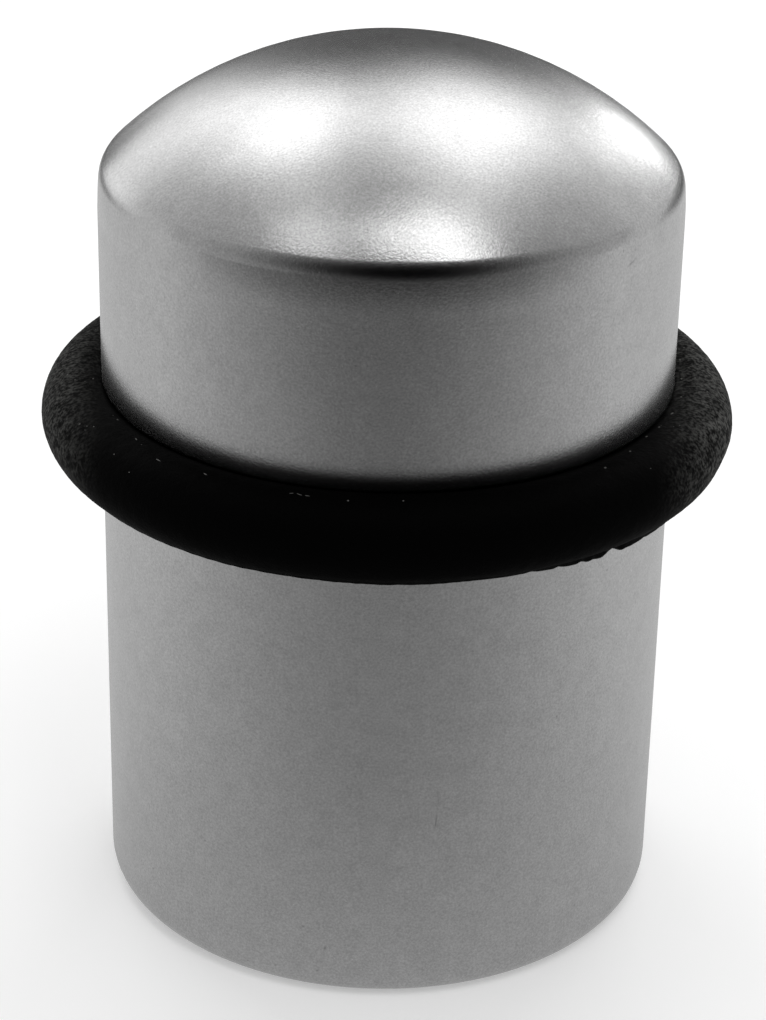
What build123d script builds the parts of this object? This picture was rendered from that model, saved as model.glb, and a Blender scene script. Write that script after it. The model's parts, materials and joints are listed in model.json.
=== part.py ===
from build123d import *
import os
from math import radians, tan

# Floor door stop: a turned, domed metal post with a rubber buffer ring sprung into a groove.
# The post stands on its rim at Z = 0, centred on the Z axis. Sizes are in millimetres.

# Post
body_diameter = 30.0
overall_height = 47.0
dome_rise = 6.2  # crown above the sharp edge where dome and wall would meet
shoulder_radius = 1.4  # round between wall and dome
wall_lead_in = 0.14  # how far the top of the wall is drawn in, by polishing
lead_in_height = 2.2  # length of the wall that is drawn in
base_edge_radius = 1.3  # round between wall and rim

# Buffer ring and its groove
ring_section_diameter = 4.3
ring_height = 27.5  # centre of the ring's section above the floor
ring_seat_depth = 1.15  # how far the ring sits inside the wall
ring_clearance = 0.05  # between the ring and the floor of its groove
groove_lip_radius = 0.2  # broken edge on both sides of the groove

# Underside: a shallow relief inside the rim, and a blind tapped hole for the floor bolt
rim_width = 2.7
relief_depth = 0.5
thread_diameter = 6.0  # major diameter, the helix itself is not cut
thread_length = 16.0  # full-diameter wall
mouth_chamfer = 0.7  # 45 degree lead-in
drill_point_angle = 118.0  # degrees

# Sizes that follow from the ones above
body_radius = body_diameter / 2
dome_edge = (body_radius - wall_lead_in, overall_height - dome_rise)
wall_top = (body_radius, overall_height - dome_rise - lead_in_height)
ring_section_radius = ring_section_diameter / 2
ring_centre_radius = body_radius - ring_seat_depth + ring_section_radius
groove_radius = ring_section_radius + ring_clearance
relief_radius = body_radius - base_edge_radius - rim_width
thread_radius = thread_diameter / 2
mouth_radius = thread_radius + mouth_chamfer
thread_start = relief_depth + mouth_chamfer
thread_end = thread_start + thread_length
drill_point_length = thread_radius / tan(radians(drill_point_angle / 2))


def round_corners(section, corners, radius):
    """Round the section's corners that lie at the given points."""
    for corner in corners:
        nearest = section.vertices().sort_by_distance((*corner, 0))[0]
        fillet(nearest, radius)


def make_stop_body():
    """Turn the post from its half section: dome, wall, groove, rim, relief and tapped hole."""
    with BuildPart() as post:
        with BuildSketch(Plane.XZ) as half_section:
            with BuildLine():
                Polyline((0, overall_height), (0, 0), (body_radius, 0), wall_top)
                TangentArc(wall_top, dome_edge, tangent=(0, 1))
                TangentArc((0, overall_height), dome_edge, tangent=(1, 0))
            make_face()
            round_corners(half_section, [dome_edge], shoulder_radius)
            round_corners(half_section, [(body_radius, 0)], base_edge_radius)

            with Locations((ring_centre_radius, ring_height)):
                Circle(groove_radius, mode=Mode.SUBTRACT)
            groove_half_width = (groove_radius**2 - (ring_centre_radius - body_radius) ** 2) ** 0.5
            lips = [(body_radius, ring_height + side * groove_half_width) for side in (-1, 1)]
            round_corners(half_section, lips, groove_lip_radius)

            with BuildLine():
                Polyline(
                    (0, 0),
                    (relief_radius, 0),
                    (relief_radius, relief_depth),
                    (mouth_radius, relief_depth),
                    (thread_radius, thread_start),
                    (thread_radius, thread_end),
                    (0, thread_end + drill_point_length),
                    close=True,
                )
            make_face(mode=Mode.SUBTRACT)
        revolve(axis=Axis.Z)
    return post.part


def make_buffer_ring():
    """Round-section rubber ring, seated in the post's groove."""
    with BuildPart() as ring:
        with BuildSketch(Plane.XZ):
            with Locations((ring_centre_radius, ring_height)):
                Circle(ring_section_radius)
        revolve(axis=Axis.Z)
    return ring.part


pieces = {
    "stop_body": make_stop_body(),
    "buffer_ring": make_buffer_ring(),
}

os.makedirs("parts", exist_ok=True)
for name, piece in pieces.items():
    export_step(piece, f"parts/{name}.step")
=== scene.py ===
import bpy
import bmesh
import json
import math
import random
from mathutils import Matrix, Vector, geometry, noise


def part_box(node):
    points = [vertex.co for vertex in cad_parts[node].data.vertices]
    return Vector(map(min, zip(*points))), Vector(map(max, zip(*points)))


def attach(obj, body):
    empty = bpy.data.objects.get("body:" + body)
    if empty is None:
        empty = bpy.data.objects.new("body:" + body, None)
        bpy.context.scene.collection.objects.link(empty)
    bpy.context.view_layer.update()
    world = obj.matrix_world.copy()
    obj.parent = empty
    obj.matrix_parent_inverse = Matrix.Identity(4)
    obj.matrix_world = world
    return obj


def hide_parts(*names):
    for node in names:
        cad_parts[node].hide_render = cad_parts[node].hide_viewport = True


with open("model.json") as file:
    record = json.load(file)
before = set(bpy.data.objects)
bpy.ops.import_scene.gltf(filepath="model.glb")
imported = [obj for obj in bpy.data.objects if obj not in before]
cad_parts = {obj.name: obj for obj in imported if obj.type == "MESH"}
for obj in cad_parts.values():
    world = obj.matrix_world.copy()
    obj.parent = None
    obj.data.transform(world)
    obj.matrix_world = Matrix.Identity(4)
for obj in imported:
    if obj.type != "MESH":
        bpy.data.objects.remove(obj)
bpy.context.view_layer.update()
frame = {"nodes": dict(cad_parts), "record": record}
scene = bpy.context.scene
mm = 0.001
print("frame loaded:", sorted(frame["nodes"]))


# small helpers for meshes and node trees

def linkObject(name, mesh):
    obj = bpy.data.objects.new(name, mesh)
    scene.collection.objects.link(obj)
    return obj


def addNode(tree, kind, **values):
    node = tree.nodes.new(kind)
    for name, value in values.items():
        setattr(node, name, value)
    return node


def setInputs(node, **values):
    for name, value in values.items():
        node.inputs[name.replace("_", " ")].default_value = value
    return node


def plug(tree, socket, value):
    if isinstance(value, bpy.types.NodeSocket):
        tree.links.new(value, socket)
    else:
        socket.default_value = value


def mathNode(tree, operation, *inputs):
    node = addNode(tree, "ShaderNodeMath", operation=operation)
    for socket, value in zip(node.inputs, inputs):
        plug(tree, socket, value)
    return node.outputs[0]


def vectorNode(tree, operation, *inputs):
    node = addNode(tree, "ShaderNodeVectorMath", operation=operation)
    for socket, value in zip(node.inputs, inputs):
        plug(tree, socket, value)
    return node.outputs["Value" if operation in ("DOT_PRODUCT", "LENGTH") else "Vector"]


def mapRange(tree, value, fromMin, fromMax, toMin=0.0, toMax=1.0, kind="SMOOTHSTEP"):
    node = addNode(tree, "ShaderNodeMapRange", interpolation_type=kind)
    setInputs(node, From_Min=fromMin, From_Max=fromMax, To_Min=toMin, To_Max=toMax)
    tree.links.new(value, node.inputs["Value"])
    return node.outputs["Result"]


def newMaterial(name):
    material = bpy.data.materials.new(name)
    material.use_nodes = True
    material.node_tree.nodes.clear()
    return material, material.node_tree


def newGroup(name, inputs, outputs):
    group = bpy.data.node_groups.new(name, "ShaderNodeTree")
    for socket, kind in inputs.items():
        group.interface.new_socket(socket, in_out="INPUT", socket_type="NodeSocket" + kind)
    for socket in outputs:
        group.interface.new_socket(socket, in_out="OUTPUT", socket_type="NodeSocketFloat")
    return group, addNode(group, "NodeGroupInput").outputs, addNode(group, "NodeGroupOutput").inputs


def direction(azimuth, elevation=0):
    # azimuth is counted from the camera's side to the right, elevation up from the floor, in degrees
    turn, lift = math.radians(azimuth), math.radians(elevation)
    return Vector((math.sin(turn) * math.cos(lift), -math.cos(turn) * math.cos(lift), math.sin(lift)))


# camera, at the photograph's height, distance and slight tilt

camera = {
    "lens": 104.2,
    "elevation": 26.12,     # degrees above the floor
    "roll": 1.185,
    "distance": 158.85 * mm,
    "aim": Vector((-0.107, 0, 21.168)) * mm,
    "nearest": 1 * mm,
}


def makeCamera():
    roll = math.radians(camera["roll"])
    back = direction(0, camera["elevation"])
    right = Vector((1, 0, 0))
    up = back.cross(right)
    tiltedRight = right * math.cos(roll) + up * math.sin(roll)
    tiltedUp = up * math.cos(roll) - right * math.sin(roll)
    data = bpy.data.cameras.new("camera")
    data.lens = camera["lens"]
    data.clip_start = camera["nearest"]
    obj = linkObject("camera", data)
    obj.matrix_world = Matrix((tiltedRight, tiltedUp, back)).transposed().to_4x4()
    obj.location = camera["aim"] + back * camera["distance"]
    scene.camera = obj


# soft oval mask, for the glow of the tent and for marks on the metal

def softSpotGroup():
    vectors = ("Position", "Middle", "Across", "Upward", "Outward")
    sockets = {**dict.fromkeys(vectors, "Vector"), "Sharpness": "Float"}
    group, given, out = newGroup("soft spot", sockets, ["Mask"])
    offset = vectorNode(group, "SUBTRACT", given["Position"], given["Middle"])
    x = vectorNode(group, "DOT_PRODUCT", offset, given["Across"])
    y = vectorNode(group, "DOT_PRODUCT", offset, given["Upward"])
    square = mathNode(group, "ADD", mathNode(group, "MULTIPLY", x, x), mathNode(group, "MULTIPLY", y, y))
    reach = mathNode(group, "POWER", square, given["Sharpness"])
    fade = mathNode(group, "EXPONENT", mathNode(group, "MULTIPLY", reach, -1))
    depth = vectorNode(group, "DOT_PRODUCT", offset, given["Outward"])
    near = mathNode(group, "GREATER_THAN", depth, -1)       # leaves out the far side
    group.links.new(mathNode(group, "MULTIPLY", fade, near), out["Mask"])
    return group


softSpot = softSpotGroup()


def placeSpot(tree, position, middle, across, upward, outward, sharpness):
    node = addNode(tree, "ShaderNodeGroup", node_tree=softSpot)
    setInputs(node, Middle=middle, Across=across, Upward=upward, Outward=outward, Sharpness=sharpness)
    tree.links.new(position, node.inputs["Position"])
    return node.outputs["Mask"]


# fine grain, clouds and pits of a matt surface, each with its own size in metres

matt = {
    "grainDetail": 1.5, "cloudDetail": 3.0, "noiseRoughness": 0.6,
    "pitChance": (0.72, 1.0),       # about a quarter of the cells hold a pit
    "pitEdge": (0.03, 0.13),        # where a pit starts to fade and ends, in cells
}


def fineGrainGroup():
    sizes = ("Grain Size", "Cloud Size", "Pit Spacing")
    group, given, out = newGroup("fine grain", {"Position": "Vector", **dict.fromkeys(sizes, "Float")},
                                 ["Grain", "Cloud", "Pits"])

    def scaled(size):
        node = addNode(group, "ShaderNodeVectorMath", operation="SCALE")
        group.links.new(given["Position"], node.inputs["Vector"])
        group.links.new(mathNode(group, "DIVIDE", 1.0, given[size]), node.inputs["Scale"])
        return node.outputs["Vector"]

    textures = (("Grain Size", matt["grainDetail"], "Grain"), ("Cloud Size", matt["cloudDetail"], "Cloud"))
    for size, detail, name in textures:
        texture = addNode(group, "ShaderNodeTexNoise")
        setInputs(texture, Scale=1.0, Detail=detail, Roughness=matt["noiseRoughness"])
        group.links.new(scaled(size), texture.inputs["Vector"])
        centred = mathNode(group, "MULTIPLY_ADD", texture.outputs["Fac"], 2.0, -1.0)       # -1 to 1
        group.links.new(centred, out[name])

    cells = addNode(group, "ShaderNodeTexVoronoi")
    setInputs(cells, Scale=1.0)
    group.links.new(scaled("Pit Spacing"), cells.inputs["Vector"])
    chance = addNode(group, "ShaderNodeSeparateColor")
    group.links.new(cells.outputs["Color"], chance.inputs["Color"])
    chosen = mapRange(group, chance.outputs["Red"], *matt["pitChance"])
    pit = mapRange(group, cells.outputs["Distance"], *matt["pitEdge"], 1.0, 0.0)
    group.links.new(mathNode(group, "MULTIPLY", pit, chosen), out["Pits"])
    return group


fineGrain = fineGrainGroup()


def placeGrain(tree, position, grain, cloud, pits):
    node = addNode(tree, "ShaderNodeGroup", node_tree=fineGrain)
    setInputs(node, Grain_Size=grain, Cloud_Size=cloud, Pit_Spacing=pits)
    tree.links.new(position, node.inputs["Position"])
    return node.outputs


# studio: pale floor, a few lamps, and a cloth tent whose glow only the gloss sees

studio = {
    "worldLight": 0.6,
    "floorColour": (0.92, 0.92, 0.92, 1),
    "floorLift": 0.24,       # takes the open floor up to white for the camera
    "floorSize": 4.0,
    "lamps": {
        "backLeft": {"azimuth": -150, "elevation": 48, "distance": 0.6, "size": 0.25, "light": 0.14},
        "backRight": {"azimuth": 158, "elevation": 54, "distance": 0.6, "size": 0.25, "light": 0.16},
        "frontTop": {"azimuth": 30, "elevation": 62, "distance": 0.6, "size": 0.25, "light": 0.14},
    },
}

tent = {
    "radius": 0.30,
    "facets": (64, 32),      # around, and from top to bottom
    "centre": Vector((0, 0, 42)) * mm,
    "side": 0.62,            # plain glow of the cloth at the sides
    "top": 1.0,              # and overhead
    "topFrom": 55, "topTo": 64,      # degrees up, between which one turns into the other
    # dark openings: depth is the share of the glow that they take away, sharpness that of their edge
    "openingSharpness": 4,
    "openings": {
        "front": {"azimuth": 6, "elevation": 24, "width": 74, "height": 70, "depth": 1, "sharpness": 2.2},
        "back": {"azimuth": 180, "elevation": 35, "width": 20, "height": 70, "depth": 0.87},
        "horizon": {"azimuth": 178, "elevation": -7, "width": 62, "height": 2, "depth": 0.9},
        "leftLow": {"azimuth": -153, "elevation": 1.5, "width": 7, "height": 5.5, "depth": 1},
        "leftGap": {"azimuth": -137, "elevation": -9, "width": 5, "height": 2.5, "depth": 0.8},
        "rightGap": {"azimuth": 140, "elevation": 0, "width": 16, "height": 5.5, "depth": 0.6},
    },
    # lamps that shine through the cloth
    "spotSharpness": 1.4,
    "hotSpots": {
        "backLeft": {"azimuth": -147, "elevation": 46, "width": 14, "height": 20, "glow": 2.5, "turn": -5},
        "backRight": {"azimuth": 158, "elevation": 56, "width": 17, "height": 23, "glow": 1.8, "turn": 5},
        "rightStrip": {"azimuth": 152, "elevation": 10, "width": 4, "height": 4, "glow": 5.5},
        "rightGlow": {"azimuth": 144, "elevation": 22, "width": 6, "height": 12, "glow": 1.1, "turn": 30},
        "leftStrip": {"azimuth": -140, "elevation": 13, "width": 20, "height": 14, "glow": 0.5},
        "frontTop": {"azimuth": 47, "elevation": 70, "width": 11, "height": 7.5, "glow": 2.4, "turn": -70},
        "frontMiddle": {"azimuth": 3, "elevation": 75, "width": 8, "height": 4, "glow": 2.2, "turn": -12},
        "leftTop": {"azimuth": -60, "elevation": 67, "width": 9, "height": 4, "glow": 1.5, "turn": 30},
    },
    # a fold of the cloth, which dims the lamp behind it too
    "fold": {"azimuth": -140, "elevation": 40, "width": 20, "height": 13, "depth": 0.5, "sharpness": 1},
}

tentFloor = {
    # brighter towards the back, shaded in front but for a lit strip, dark at its front and back edges
    "middle": 0.6, "rise": 3.7, "lowest": 0.16, "highest": 0.62,     # rise is for each metre
    "shade": 0.45, "shadeMiddle": Vector((0, -60, 0)) * mm, "shadeWidth": 50 * mm, "shadeLength": 60 * mm,
    "gain": 0.33, "gainMiddle": Vector((0, -58, 0)) * mm, "gainWidth": 40 * mm, "gainLength": 9 * mm,
    "edgeFrom": 0.1, "edgeTo": 0.26, "edgeGlow": 0.03, "edgeSqueeze": Vector((0.15, 1, 1)),
}


def glowMaterial(name):
    material, tree = newMaterial(name)
    out = addNode(tree, "ShaderNodeOutputMaterial")
    glow = addNode(tree, "ShaderNodeEmission")
    tree.links.new(glow.outputs["Emission"], out.inputs["Surface"])
    material.cycles.emission_sampling = "NONE"
    place = addNode(tree, "ShaderNodeNewGeometry")
    return material, tree, glow.inputs["Color"], place.outputs["Position"]


def onlyGlossSees(obj):
    obj.visible_camera = False
    obj.visible_diffuse = False
    obj.visible_transmission = False
    obj.visible_volume_scatter = False
    obj.visible_shadow = False


def darkened(tree, level, mask, depth):
    return mathNode(tree, "MULTIPLY", level, mathNode(tree, "MULTIPLY_ADD", mask, -depth, 1))


def tentSpot(tree, way, spot, sharpness):
    middle = direction(spot["azimuth"], spot["elevation"])
    level = Vector((0, 0, 1)).cross(middle).normalized()
    plumb = middle.cross(level)
    turn = math.radians(spot.get("turn", 0))
    across = level * math.cos(turn) + plumb * math.sin(turn)
    upward = plumb * math.cos(turn) - level * math.sin(turn)
    halfWidth = math.sin(math.radians(spot["width"]))
    halfHeight = math.sin(math.radians(spot["height"]))
    return placeSpot(tree, way, middle, across / halfWidth, upward / halfHeight, middle, sharpness)


def makeTent():
    mesh = bpy.data.meshes.new("tent")
    shell = bmesh.new()
    around, upright = tent["facets"]
    bmesh.ops.create_uvsphere(shell, u_segments=around, v_segments=upright, radius=tent["radius"])
    shell.to_mesh(mesh)
    shell.free()
    cloth = linkObject("tent", mesh)
    cloth.location = tent["centre"]
    material, tree, glow, position = glowMaterial("tent cloth")
    way = vectorNode(tree, "NORMALIZE", vectorNode(tree, "SUBTRACT", position, tent["centre"]))
    split = addNode(tree, "ShaderNodeSeparateXYZ")
    tree.links.new(way, split.inputs["Vector"])
    topFrom, topTo = (math.sin(math.radians(tent[name])) for name in ("topFrom", "topTo"))
    level = mapRange(tree, split.outputs["Z"], topFrom, topTo, tent["side"], tent["top"])
    for opening in tent["openings"].values():
        mask = tentSpot(tree, way, opening, opening.get("sharpness", tent["openingSharpness"]))
        level = darkened(tree, level, mask, opening["depth"])
    for spot in tent["hotSpots"].values():
        mask = tentSpot(tree, way, spot, tent["spotSharpness"])
        level = mathNode(tree, "MULTIPLY_ADD", mask, spot["glow"], level)
    fold = tent["fold"]
    level = darkened(tree, level, tentSpot(tree, way, fold, fold["sharpness"]), fold["depth"])
    tree.links.new(level, glow)
    mesh.materials.append(material)
    onlyGlossSees(cloth)


def quad(name, half):
    mesh = bpy.data.meshes.new(name)
    corners = [(-half, -half, 0), (half, -half, 0), (half, half, 0), (-half, half, 0)]
    mesh.from_pydata(corners, [], [(0, 1, 2, 3)])
    return linkObject(name, mesh)


def makeTentFloor():
    ground = quad("tent_floor", tent["radius"])
    material, tree, glow, position = glowMaterial("tent floor")
    split = addNode(tree, "ShaderNodeSeparateXYZ")
    tree.links.new(position, split.inputs["Vector"])
    glows = (tentFloor["lowest"], tentFloor["highest"])
    places = ((level - tentFloor["middle"]) / tentFloor["rise"] for level in glows)
    level = mapRange(tree, split.outputs["Y"], *places, *glows, "LINEAR")
    for name, sign in (("shade", 1), ("gain", -1)):
        across = Vector((1, 0, 0)) / tentFloor[name + "Width"]
        along = Vector((0, 1, 0)) / tentFloor[name + "Length"]
        patch = placeSpot(tree, position, tentFloor[name + "Middle"], across, along, Vector((0, 0, 1)), 1.0)
        level = darkened(tree, level, patch, sign * tentFloor[name])
    reach = vectorNode(tree, "LENGTH", vectorNode(tree, "MULTIPLY", position, tentFloor["edgeSqueeze"]))
    edge = mapRange(tree, reach, tentFloor["edgeFrom"], tentFloor["edgeTo"], 1.0, tentFloor["edgeGlow"])
    tree.links.new(mathNode(tree, "MULTIPLY", level, edge), glow)
    ground.data.materials.append(material)
    onlyGlossSees(ground)


def makeFloor():
    floor = quad("floor", studio["floorSize"] / 2)
    material, tree = newMaterial("pale floor")
    out = addNode(tree, "ShaderNodeOutputMaterial")
    paper = setInputs(addNode(tree, "ShaderNodeBsdfDiffuse"), Color=studio["floorColour"])
    lift = addNode(tree, "ShaderNodeEmission")
    seen = addNode(tree, "ShaderNodeLightPath").outputs["Is Camera Ray"]
    tree.links.new(mathNode(tree, "MULTIPLY", seen, studio["floorLift"]), lift.inputs["Strength"])
    both = addNode(tree, "ShaderNodeAddShader")
    tree.links.new(paper.outputs["BSDF"], both.inputs[0])
    tree.links.new(lift.outputs["Emission"], both.inputs[1])
    tree.links.new(both.outputs["Shader"], out.inputs["Surface"])
    material.cycles.emission_sampling = "NONE"
    floor.data.materials.append(material)
    floor.visible_glossy = False     # the tent's floor stands for it there


def makeLamps():
    for name, box in studio["lamps"].items():
        way = direction(box["azimuth"], box["elevation"])
        data = bpy.data.lights.new(name, "AREA")
        data.size = box["size"]
        # light is what the lamp gives a white sheet that faces it: 1 shows as white
        data.energy = box["light"] * math.pi**2 * box["distance"] ** 2
        lamp = linkObject(name, data)
        lamp.location = tent["centre"] + way * box["distance"]
        lamp.rotation_euler = way.to_track_quat("Z", "Y").to_euler()
        lamp.visible_camera = False
        lamp.visible_glossy = False      # the gloss sees it as a hot spot on the tent


def makeWorld():
    world = bpy.data.worlds.new("studio")
    world.use_nodes = True
    tree = world.node_tree
    tree.nodes.clear()
    out = addNode(tree, "ShaderNodeOutputWorld")
    sky = setInputs(addNode(tree, "ShaderNodeBackground"), Color=(1, 1, 1, 1))
    path = addNode(tree, "ShaderNodeLightPath").outputs
    seen = mathNode(tree, "MAXIMUM", path["Is Camera Ray"], path["Is Glossy Ray"])
    seen = mathNode(tree, "MAXIMUM", seen, path["Is Transmission Ray"])
    tree.links.new(mapRange(tree, seen, 0, 1, studio["worldLight"], 1.0, "LINEAR"), sky.inputs["Strength"])
    tree.links.new(sky.outputs["Background"], out.inputs["Surface"])
    scene.world = world


# satin chrome of the post: matt grain, a rubbed shoulder, a few pits and ticks

chrome = {
    "colour": 0.60,
    "roughness": 0.255,
    # the turned top: dome above its edge, rounded shoulder, and the wall drawn in below it
    "domeRise": 6.2 * mm, "shoulderRadius": 1.4 * mm, "leadIn": 0.14 * mm, "leadInHeight": 2.2 * mm,
    "rubbedRoughness": 0.21, "rubbedHeight": 39.9 * mm, "rubbedReach": 1.9 * mm,
    "rubbedCore": 0.65,      # share of the reach that is fully rubbed
    "grainSize": 0.12 * mm, "grainTone": 0.32, "grainBump": 0.003 * mm,
    "cloudSize": 1.1 * mm, "cloudTone": 0.11, "cloudRoughness": 0.004,
    "pitSpacing": 0.75 * mm, "pitTone": 0.25,
    # sizes are half lengths, tilt is up from level
    "marks": {
        "shoulderTick": {"azimuth": 51, "height": 39.34 * mm, "tilt": 20,
                         "long": 0.36 * mm, "wide": 0.05 * mm, "tone": 0.35},
        "wallScratch": {"azimuth": 11.2, "height": 10.8 * mm, "tilt": 84,
                        "long": 0.45 * mm, "wide": 0.04 * mm, "tone": 0.40},
        "wallScratchTop": {"azimuth": 11.5, "height": 12.2 * mm, "tilt": 97,
                           "long": 0.40 * mm, "wide": 0.04 * mm, "tone": 0.20},
        "rightSpeck": {"azimuth": 60, "height": 20.3 * mm, "tilt": 70,
                       "long": 0.14 * mm, "wide": 0.10 * mm, "tone": 0.18},
        "rightDot": {"azimuth": 48.7, "height": 22.9 * mm, "tilt": 0,
                     "long": 0.07 * mm, "wide": 0.06 * mm, "tone": 0.35},
        "baseTick": {"azimuth": -10.2, "height": 2.95 * mm, "tilt": 70,
                     "long": 0.14 * mm, "wide": 0.05 * mm, "tone": 0.40},
        "baseDot": {"azimuth": -14.7, "height": 4.1 * mm, "tilt": 0,
                    "long": 0.06 * mm, "wide": 0.06 * mm, "tone": 0.30},
    },
}


def wallMark(tree, position, mark):
    outward = direction(mark["azimuth"])
    level = Vector((0, 0, 1)).cross(outward)
    tilt = math.radians(mark["tilt"])
    along = level * math.cos(tilt) + Vector((0, 0, 1)) * math.sin(tilt)
    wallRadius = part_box("stop_body")[1][0]
    middle = outward * wallRadius + Vector((0, 0, mark["height"]))
    across = outward.cross(along) / mark["wide"]
    return placeSpot(tree, position, middle, along / mark["long"], across, outward / mm, 1.0)


def turnedSlopes():
    # heights where lead-in, shoulder and dome begin and end, with the sine of the slope there
    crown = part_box("stop_body")[1]
    edge = crown[0] - chrome["leadIn"]
    domeRadius = (edge**2 + chrome["domeRise"] ** 2) / (2 * chrome["domeRise"])
    domeMiddle = Vector((0, crown[2] - domeRadius))
    leadRadius = (chrome["leadIn"] ** 2 + chrome["leadInHeight"] ** 2) / (2 * chrome["leadIn"])
    wallTop = crown[2] - chrome["domeRise"] - chrome["leadInHeight"]
    leadMiddle = Vector((crown[0] - leadRadius, wallTop))
    rounding = chrome["shoulderRadius"]
    circles = (domeMiddle, domeRadius - rounding, leadMiddle, leadRadius - rounding)
    shoulder = max(geometry.intersect_sphere_sphere_2d(*circles), key=lambda point: point.x)
    slopes = [(wallTop, 0.0)]
    for middle, radius in ((leadMiddle, leadRadius), (domeMiddle, domeRadius)):
        sine = (shoulder.y - middle.y) / (radius - rounding)
        slopes.append((middle.y + radius * sine, sine))
    return slopes + [(crown[2], 1.0)]


def turnedNormal(tree, position, height):
    # the slope that the lathe cut, smooth across the facets of dome and shoulder
    ends = turnedSlopes()
    rise = 0.0
    for (low, lowSine), (high, highSine) in zip(ends, ends[1:]):
        climb = mapRange(tree, height, low, high, 0.0, highSine - lowSine, "LINEAR")
        rise = mathNode(tree, "ADD", rise, climb)
    level = mathNode(tree, "SQRT", mathNode(tree, "SUBTRACT", 1.0, mathNode(tree, "MULTIPLY", rise, rise)))
    outward = vectorNode(tree, "NORMALIZE", vectorNode(tree, "MULTIPLY", position, Vector((1, 1, 0))))
    leaning = vectorNode(tree, "SCALE", outward)
    tree.links.new(level, leaning.node.inputs["Scale"])
    upward = addNode(tree, "ShaderNodeCombineXYZ")
    tree.links.new(rise, upward.inputs["Z"])
    choice = addNode(tree, "ShaderNodeMix", data_type="VECTOR")
    plug(tree, choice.inputs["Factor"], mathNode(tree, "GREATER_THAN", height, ends[0][0]))
    vectorsIn = [socket for socket in choice.inputs if socket.type == "VECTOR"]
    plain, turned = (socket for socket in vectorsIn if "Factor" not in socket.name)
    plug(tree, plain, addNode(tree, "ShaderNodeNewGeometry").outputs["Normal"])
    plug(tree, turned, vectorNode(tree, "ADD", leaning, upward.outputs["Vector"]))
    return next(socket for socket in choice.outputs if socket.type == "VECTOR")


def satinChrome():
    material, tree = newMaterial("satin chrome")
    out = addNode(tree, "ShaderNodeOutputMaterial")
    metal = setInputs(addNode(tree, "ShaderNodeBsdfPrincipled"), Metallic=1.0)
    tree.links.new(metal.outputs["BSDF"], out.inputs["Surface"])
    position = addNode(tree, "ShaderNodeTexCoord").outputs["Object"]
    grain = placeGrain(tree, position, chrome["grainSize"], chrome["cloudSize"], chrome["pitSpacing"])

    tone = mathNode(tree, "MULTIPLY_ADD", grain["Grain"], chrome["grainTone"], 1.0)
    tone = mathNode(tree, "MULTIPLY_ADD", grain["Cloud"], chrome["cloudTone"], tone)
    tone = darkened(tree, tone, grain["Pits"], chrome["pitTone"])
    for mark in chrome["marks"].values():
        tone = darkened(tree, tone, wallMark(tree, position, mark), mark["tone"])
    grey = addNode(tree, "ShaderNodeCombineColor")
    level = mathNode(tree, "MULTIPLY", tone, chrome["colour"])
    for channel in ("Red", "Green", "Blue"):
        tree.links.new(level, grey.inputs[channel])
    tree.links.new(grey.outputs["Color"], metal.inputs["Base Color"])

    split = addNode(tree, "ShaderNodeSeparateXYZ")
    tree.links.new(position, split.inputs["Vector"])
    aboveShoulder = mathNode(tree, "SUBTRACT", split.outputs["Z"], chrome["rubbedHeight"])
    fromShoulder = mathNode(tree, "ABSOLUTE", aboveShoulder)
    reach = chrome["rubbedReach"]
    finishes = (chrome["rubbedRoughness"], chrome["roughness"])
    roughness = mapRange(tree, fromShoulder, chrome["rubbedCore"] * reach, reach, *finishes)
    roughness = mathNode(tree, "MULTIPLY_ADD", grain["Cloud"], chrome["cloudRoughness"], roughness)
    tree.links.new(roughness, metal.inputs["Roughness"])

    bump = setInputs(addNode(tree, "ShaderNodeBump"), Strength=1.0, Distance=chrome["grainBump"])
    tree.links.new(grain["Grain"], bump.inputs["Height"])
    tree.links.new(turnedNormal(tree, position, split.outputs["Z"]), bump.inputs["Normal"])
    tree.links.new(bump.outputs["Normal"], metal.inputs["Normal"])
    return material


# black rubber of the ring: dull and grainy, with grey speckle at its left and right, partly dust and partly
# painted sheen where light grazes those sides

rubber = {
    "black": (0.0009, 0.0009, 0.0009, 1),
    # grey of the speckle: dust, lifted as painted sheen
    "dustAndSheen": (0.115, 0.115, 0.11, 1),
    "sheenSideFrom": 13.5 * mm, "sheenSideTo": 18.4 * mm,     # across, from the middle
    "dustAndSheenGrain": (-0.45, 0.75),                     # grain levels at which the speckle of dust and painted sheen starts and is full
    "dustAndSheenCloud": 0.7,                               # share of the clouds in that grain
    "roughness": 0.62, "cloudRoughness": 0.10, "gloss": 0.02,
    "grainSize": 0.20 * mm, "grainBump": 0.012 * mm,
    "cloudSize": 0.8 * mm, "pitSpacing": 0.6 * mm, "sheenSideShift": 0.35 * mm,
}


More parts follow.
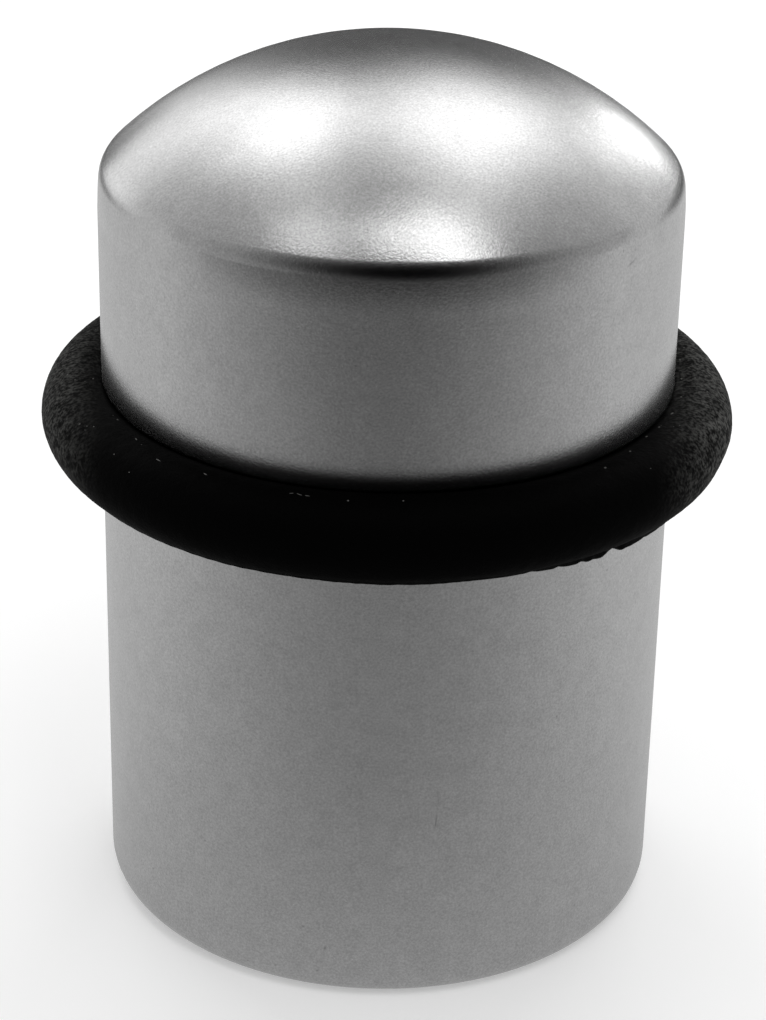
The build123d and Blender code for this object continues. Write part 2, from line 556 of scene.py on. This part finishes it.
def blackRubber():
    material, tree = newMaterial("black rubber")
    out = addNode(tree, "ShaderNodeOutputMaterial")
    skin = setInputs(addNode(tree, "ShaderNodeBsdfPrincipled"), Specular_IOR_Level=rubber["gloss"])
    tree.links.new(skin.outputs["BSDF"], out.inputs["Surface"])
    position = addNode(tree, "ShaderNodeTexCoord").outputs["Object"]
    grain = placeGrain(tree, position, rubber["grainSize"], rubber["cloudSize"], rubber["pitSpacing"])

    split = addNode(tree, "ShaderNodeSeparateXYZ")
    tree.links.new(position, split.inputs["Vector"])
    # painted sheen: the grey dust speckle is laid only at the left and right of the ring, where light grazes
    # it
    across = mathNode(tree, "ABSOLUTE", mathNode(tree, "ADD", split.outputs["X"], rubber["sheenSideShift"]))
    aside = mapRange(tree, across, rubber["sheenSideFrom"], rubber["sheenSideTo"])
    speckle = mathNode(tree, "MULTIPLY_ADD", grain["Cloud"], rubber["dustAndSheenCloud"], grain["Grain"])
    dustAndSheen = mathNode(tree, "MULTIPLY", mapRange(tree, speckle, *rubber["dustAndSheenGrain"]), aside)
    colour = addNode(tree, "ShaderNodeMix", data_type="RGBA")
    plug(tree, colour.inputs["Factor"], dustAndSheen)
    mixIn = [socket for socket in colour.inputs if socket.type == "RGBA"]
    mixIn[0].default_value = rubber["black"]
    mixIn[1].default_value = rubber["dustAndSheen"]
    mixOut = [socket for socket in colour.outputs if socket.type == "RGBA"]
    tree.links.new(mixOut[0], skin.inputs["Base Color"])

    roughness = mathNode(tree, "MULTIPLY_ADD", grain["Cloud"], rubber["cloudRoughness"], rubber["roughness"])
    tree.links.new(roughness, skin.inputs["Roughness"])
    bump = setInputs(addNode(tree, "ShaderNodeBump"), Strength=1.0, Distance=rubber["grainBump"])
    tree.links.new(grain["Grain"], bump.inputs["Height"])
    tree.links.new(bump.outputs["Normal"], skin.inputs["Normal"])
    return material


# buffer ring: a moulded ring with a torn flash line under its outer edge and one flattened side

ringLow, ringHigh = (Vector(corner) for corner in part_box("buffer_ring"))
ring = {
    "section": (ringHigh.z - ringLow.z) / 2,
    "height": (ringHigh.z + ringLow.z) / 2,
    "around": 720, "across": 84,                     # faces each way
    "buried": 112,                                   # section angle, past it the groove hides the ring
    "buriedFade": 20,
    "swell": 0.04 * mm, "swellSize": 4 * mm,
    "pebble": 0.014 * mm, "pebbleSize": 0.42 * mm,
    # section angles are counted from the outer edge, up is positive
    "flash": {"angle": -63, "width": 8, "height": 0.085 * mm,
              "ragged": 0.022 * mm, "raggedStep": 1.4, "raggedStart": 3.7},
    "ragged": {"azimuth": 42, "span": 19, "height": 0.23 * mm},      # where the flash is widest and torn
    "tears": [
        {"azimuth": 25, "span": 1.4, "depth": 0.05 * mm}, {"azimuth": 30, "span": 1.0, "depth": 0.06 * mm},
        {"azimuth": 34.5, "span": 1.2, "depth": 0.08 * mm}, {"azimuth": 37, "span": 0.9, "depth": 0.05 * mm},
        {"azimuth": 41, "span": 2.4, "depth": 0.33 * mm}, {"azimuth": 49, "span": 1.2, "depth": 0.06 * mm},
    ],
    "flat": {"azimuth": 84, "span": 18, "angle": -36, "reach": 34, "depth": 0.38 * mm},
}
ring["radius"] = ringHigh.x - ring["section"]


def hump(value, middle, reach):
    # 1 at the middle, smoothly down to 0 at the reach
    near = max(0.0, 1 - abs(value - middle) / reach)
    return near * near * (3 - 2 * near)


def ringPoint(azimuth, angle, lift=0.0):
    outward = direction(azimuth)
    slope = math.radians(angle)
    normal = outward * math.cos(slope) + Vector((0, 0, math.sin(slope)))
    return outward * ring["radius"] + Vector((0, 0, ring["height"])) + normal * (ring["section"] + lift)


def ringLift(azimuth, angle):
    fade = ring["buriedFade"]
    shown = 1 - min(1.0, max(0.0, (abs(angle) - ring["buried"] + fade) / fade))
    point = ringPoint(azimuth, angle)
    lift = ring["swell"] * noise.noise(point / ring["swellSize"])
    lift += ring["pebble"] * noise.noise(point / ring["pebbleSize"])
    flash = ring["flash"]
    torn = ring["ragged"]
    stand = flash["height"] + torn["height"] * hump(azimuth, torn["azimuth"], torn["span"])
    along = Vector((azimuth / flash["raggedStep"], flash["raggedStart"], 0))
    stand += flash["ragged"] * noise.noise(along)
    for tear in ring["tears"]:
        stand -= tear["depth"] * hump(azimuth, tear["azimuth"], tear["span"])
    lift += stand * hump(angle, flash["angle"], flash["width"])
    flat = ring["flat"]
    pressed = flat["depth"] * hump(azimuth, flat["azimuth"], flat["span"])
    lift -= pressed * hump(angle, flat["angle"], flat["reach"])
    return lift * shown


def gridFaces(rows, columns, closedRows=True):
    # quads of a grid whose columns close on themselves
    lastRow = rows if closedRows else rows - 1
    faces = []
    for row in range(lastRow):
        for column in range(columns):
            nextRow = (row + 1) % rows
            nextColumn = (column + 1) % columns
            faces.append((row * columns + column, nextRow * columns + column,
                          nextRow * columns + nextColumn, row * columns + nextColumn))
    return faces


def makeRing():
    points = []
    for step in range(ring["around"]):
        azimuth = 360 * step / ring["around"] - 180
        for turn in range(ring["across"]):
            angle = 360 * turn / ring["across"] - 180
            points.append(ringPoint(azimuth, angle, ringLift(azimuth, angle)))
    mesh = bpy.data.meshes.new("moulded_ring")
    mesh.from_pydata(points, [], gridFaces(ring["around"], ring["across"]))
    mesh.shade_smooth()
    piece = linkObject("moulded_ring", mesh)
    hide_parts("buffer_ring")
    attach(piece, "root")
    return piece


# lint: pale flecks caught on the ring, along its seat against the wall

lint = {
    "colour": (0.12, 0.12, 0.115), "cloudTone": 0.4, "roughness": 0.9, "gloss": 0.1,
    "lumps": 0.35, "lumpStep": 1.7, "bend": 0.25,    # how knobbly and bent a fleck is
    "stand": 0.35, "thickness": 0.6,                 # in half widths
    "twist": 0.4,                                    # either way, in radians
    # azimuth, section angle, half length and half width in mm
    "flecks": [
        (-61, 104, 0.08, 0.04), (-51.5, 94, 0.13, 0.035), (-42.5, 77, 0.17, 0.03), (-32.5, 83, 0.14, 0.03),
        (-14.6, 81.5, 0.16, 0.022), (-13.2, 81, 0.13, 0.02), (-16, 82, 0.10, 0.02), (-6.2, 79, 0.05, 0.04),
        (3, 83, 0.045, 0.035), (41.5, 86, 0.07, 0.06), (50, 97, 0.06, 0.05), (58, 108, 0.08, 0.05),
        (63, 106, 0.07, 0.05), (70, 105, 0.12, 0.05), (78, 104, 0.06, 0.05), (87, 107, 0.08, 0.05),
        (96, 102, 0.06, 0.05), (-81, 105, 0.06, 0.05),
    ],
    "crumbs": 26, "crumbSeed": 4, "crumbSize": (0.02, 0.045), "crumbLength": 1.3,
    "crumbAzimuth": (45, 110), "crumbAngle": (40, 108), "crumbTwist": (0, 3),
}


def addFleck(shell, azimuth, angle, halfLength, halfWidth, twist):
    grain = bmesh.ops.create_icosphere(shell, subdivisions=2, radius=1.0)["verts"]
    place = ringPoint(azimuth, angle, ringLift(azimuth, angle))
    outward = (place - ringPoint(azimuth, angle, -ring["section"])).normalized()
    along = Matrix.Rotation(twist, 3, outward) @ direction(azimuth + 90)
    aside = outward.cross(along)
    for vert in grain:
        rough = 1 + lint["lumps"] * noise.noise(vert.co * lint["lumpStep"] + place / mm)
        x, y, z = vert.co * rough
        bend = lint["bend"] * x * x
        thick = outward * (z + lint["stand"]) * lint["thickness"] * halfWidth
        vert.co = place + along * x * halfLength + aside * (y + bend) * halfWidth + thick


def makeLint():
    draw = random.Random(lint["crumbSeed"])
    shell = bmesh.new()
    for azimuth, angle, halfLength, halfWidth in lint["flecks"]:
        twist = draw.uniform(-lint["twist"], lint["twist"])
        addFleck(shell, azimuth, angle, halfLength * mm, halfWidth * mm, twist)
    for crumb in range(lint["crumbs"]):
        side = draw.choice((-1, 1))
        size = draw.uniform(*lint["crumbSize"]) * mm
        azimuth = side * draw.uniform(*lint["crumbAzimuth"])
        angle = draw.uniform(*lint["crumbAngle"])
        twist = draw.uniform(*lint["crumbTwist"])
        addFleck(shell, azimuth, angle, lint["crumbLength"] * size, size, twist)
    mesh = bpy.data.meshes.new("seat_lint")
    shell.to_mesh(mesh)
    shell.free()
    mesh.shade_smooth()
    piece = linkObject("seat_lint", mesh)
    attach(piece, "root")
    return piece


def paleLint():
    material, tree = newMaterial("pale lint")
    out = addNode(tree, "ShaderNodeOutputMaterial")
    fluff = addNode(tree, "ShaderNodeBsdfPrincipled")
    setInputs(fluff, Roughness=lint["roughness"], Specular_IOR_Level=lint["gloss"])
    tree.links.new(fluff.outputs["BSDF"], out.inputs["Surface"])
    position = addNode(tree, "ShaderNodeTexCoord").outputs["Object"]
    grain = placeGrain(tree, position, rubber["grainSize"], rubber["cloudSize"], rubber["pitSpacing"])
    tone = mathNode(tree, "MULTIPLY_ADD", grain["Cloud"], lint["cloudTone"], 1.0)
    colour = vectorNode(tree, "SCALE", lint["colour"])
    tree.links.new(tone, colour.node.inputs["Scale"])
    tree.links.new(colour, fluff.inputs["Base Color"])
    return material


# fixing thread: the ridge of an M6 thread inside the tapped hole

fixing = next(mount for mount in frame["record"]["mounts"] if mount["name"] == "fixing_thread")
thread = {
    "pitch": 1.0 * mm,
    "radius": fixing["dims"]["r_mm"] * mm,
    "length": fixing["dims"]["length_mm"] * mm,
    "middle": fixing["pos_m"][2],
    "ridge": 0.54 * mm,                              # depth
    "root": 0.42 * mm, "crest": 0.125 * mm,          # half widths at the wall and the tip
    "bite": 0.03 * mm,                               # how far the ridge sits in the wall
    "runOut": 0.3, "thinnest": 0.2,                  # turns over which each end fades, and to what share
    "stepsPerTurn": 48,
}


def makeThread():
    low = thread["middle"] - thread["length"] / 2 + thread["root"]
    turns = (thread["length"] - 2 * thread["root"]) / thread["pitch"]
    steps = int(turns * thread["stepsPerTurn"])
    points = []
    for step in range(steps + 1):
        turn = turns * step / steps
        fade = min(1.0, turn / thread["runOut"], (turns - turn) / thread["runOut"])
        outward = direction(360 * turn)         # a right-hand thread climbs as it turns this way
        depth = thread["ridge"] * fade
        for inward, offset in ((-thread["bite"], -1), (depth, -1), (depth, 1), (-thread["bite"], 1)):
            half = thread["crest"] if inward > 0 else thread["root"]
            half *= max(fade, thread["thinnest"])
            high = Vector((0, 0, low + turn * thread["pitch"] + offset * half))
            points.append(outward * (thread["radius"] - inward) + high)
    faces = gridFaces(steps + 1, 4, closedRows=False)
    faces += [(3, 2, 1, 0), tuple(4 * steps + corner for corner in range(4))]
    mesh = bpy.data.meshes.new("thread_ridge")
    mesh.from_pydata(points, [], faces)
    piece = linkObject("thread_ridge", mesh)
    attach(piece, "root")
    return piece


makeCamera()
makeWorld()
makeFloor()
makeTent()
makeTentFloor()
makeLamps()
print("studio ready")


def dress(obj, material):
    obj.data.materials.clear()
    obj.data.materials.append(material)


metal = satinChrome()
dress(frame["nodes"]["stop_body"], metal)
dress(makeThread(), metal)
print("post ready")
dress(makeRing(), blackRubber())
dress(makeLint(), paleLint())
print("ring ready")

scene.view_settings.view_transform = "Standard"
